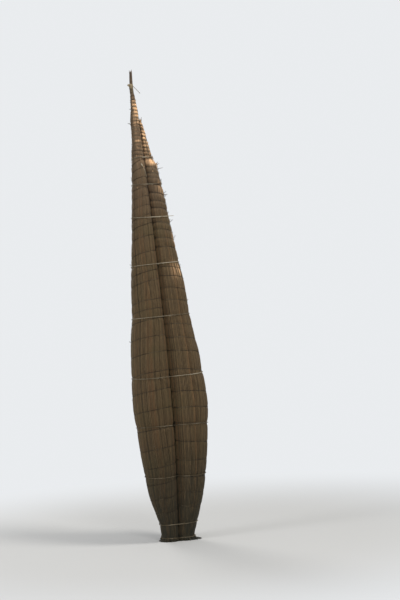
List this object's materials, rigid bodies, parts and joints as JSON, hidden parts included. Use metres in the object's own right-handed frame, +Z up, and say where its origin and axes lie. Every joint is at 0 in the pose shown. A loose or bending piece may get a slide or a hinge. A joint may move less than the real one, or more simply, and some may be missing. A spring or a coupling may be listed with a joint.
{
  "type": "reed boat",
  "caption": "One-man fishing boat of long and short tapered reed bundles lashed side by side, with an upswept bow and an open well at the stern.",
  "frame": {"origin": "middle of the cut stern that the boat stands on, where the two long bundles meet", "axes": "+Z up the boat from stern to bow, +Y to the deck side, +X to the right as seen from the underside"},
  "size_m": [0.7314, 0.9855, 4.6315],
  "materials": {
    "reeds": "dry split reed, satin",
    "lashing_rope": "twisted rope, matte",
    "binding_cord": "twisted cord, matte"
  },
  "bodies": {
    "root": {"bow_knot": "binding_cord", "bow_reeds": "reeds", "bow_turns_left": "binding_cord", "bow_turns_right": "binding_cord", "lashing_1": "lashing_rope", "lashing_2": "lashing_rope", "lashing_3": "lashing_rope", "lashing_4": "lashing_rope", "lashing_5": "lashing_rope", "lashing_6": "lashing_rope", "lashing_7": "lashing_rope", "lashing_8": "lashing_rope", "long_bundle_left": "reeds", "long_bundle_right": "reeds", "short_bundle_left": "reeds", "short_bundle_right": "reeds", "tie_left_1": "lashing_rope", "tie_left_2": "lashing_rope", "tie_right_1": "lashing_rope", "tie_right_2": "lashing_rope"}
  },
  "joints": []
}
